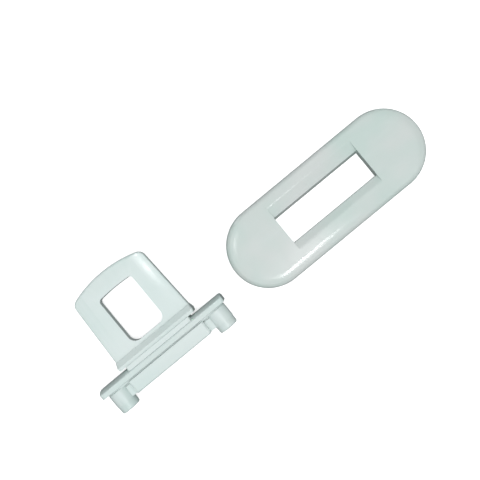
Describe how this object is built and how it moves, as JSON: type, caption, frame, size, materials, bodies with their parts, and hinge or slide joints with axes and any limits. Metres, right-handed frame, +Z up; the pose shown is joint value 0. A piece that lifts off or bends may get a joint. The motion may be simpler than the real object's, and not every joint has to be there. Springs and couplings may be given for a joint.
{
  "type": "stair gate latch",
  "caption": "Two-part gate latch: a long slotted keeper plate with rounded ends, and a flat windowed tongue on an oblong base with pegs.",
  "frame": {"origin": "centre of the keeper's slot, on the plane that both halves lie on, which is the keeper's mounting plane", "axes": "+X along both halves, from the tongue half to the keeper; +Y the way the tongue points; +Z up, out of the keeper's face"},
  "size_m": [0.1738, 0.0539, 0.012],
  "materials": {
    "keeper_plastic": "satin moulded",
    "tongue_plastic": "satin moulded"
  },
  "bodies": {
    "keeper": {"keeper_plate": "keeper_plastic", "keeper_left_boss": "keeper_plastic", "keeper_right_boss": "keeper_plastic"},
    "tongue": {"base_plate": "tongue_plastic", "seat_pad": "tongue_plastic", "root_block": "tongue_plastic", "left_peg": "tongue_plastic", "right_peg": "tongue_plastic", "left_web": "tongue_plastic", "right_web": "tongue_plastic", "neck": "tongue_plastic", "collar": "tongue_plastic", "tongue_blade": "tongue_plastic"}
  },
  "joints": [
    {"name": "tongue_slide", "type": "slide", "parent": "keeper", "child": "tongue", "axis": [0, 1, 0], "range_m": [0, 0.0377]}
  ]
}
